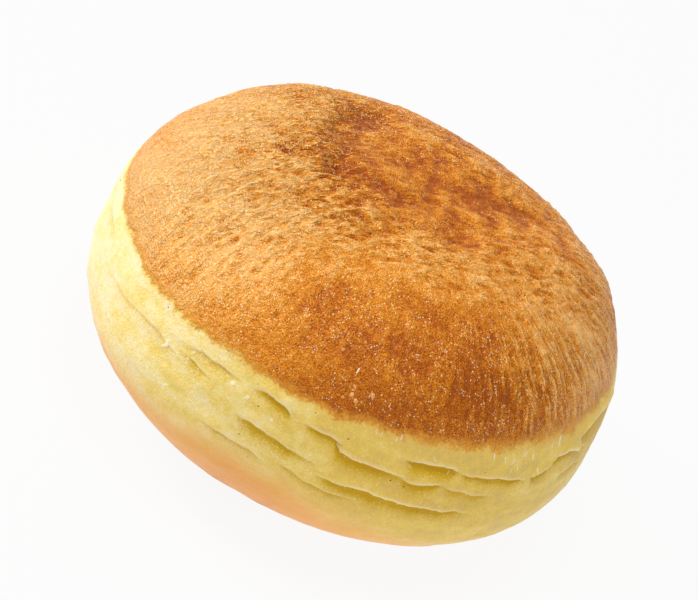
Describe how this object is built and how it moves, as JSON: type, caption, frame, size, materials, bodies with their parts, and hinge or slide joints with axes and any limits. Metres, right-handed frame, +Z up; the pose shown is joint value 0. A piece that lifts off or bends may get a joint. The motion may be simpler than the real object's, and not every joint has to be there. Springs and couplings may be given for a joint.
{
  "type": "jelly filled doughnut",
  "caption": "Round filled doughnut without a hole: a browned, slightly sunken dome, a pale creased waist, and a browned base that rests on a flat foot.",
  "frame": {"origin": "the middle of the flat foot, on the surface that the doughnut stands on", "axes": "+Z up through the middle of the dome; -Y is the front, where the waist's deeper creases are; +X is to the right seen from the front"},
  "size_m": [0.0906, 0.0898, 0.0513],
  "materials": {
    "fried_dough": "browned fried crust, softly greasy, with a pale yellow waist"
  },
  "bodies": {
    "root": {"doughnut": "fried_dough"}
  },
  "joints": []
}
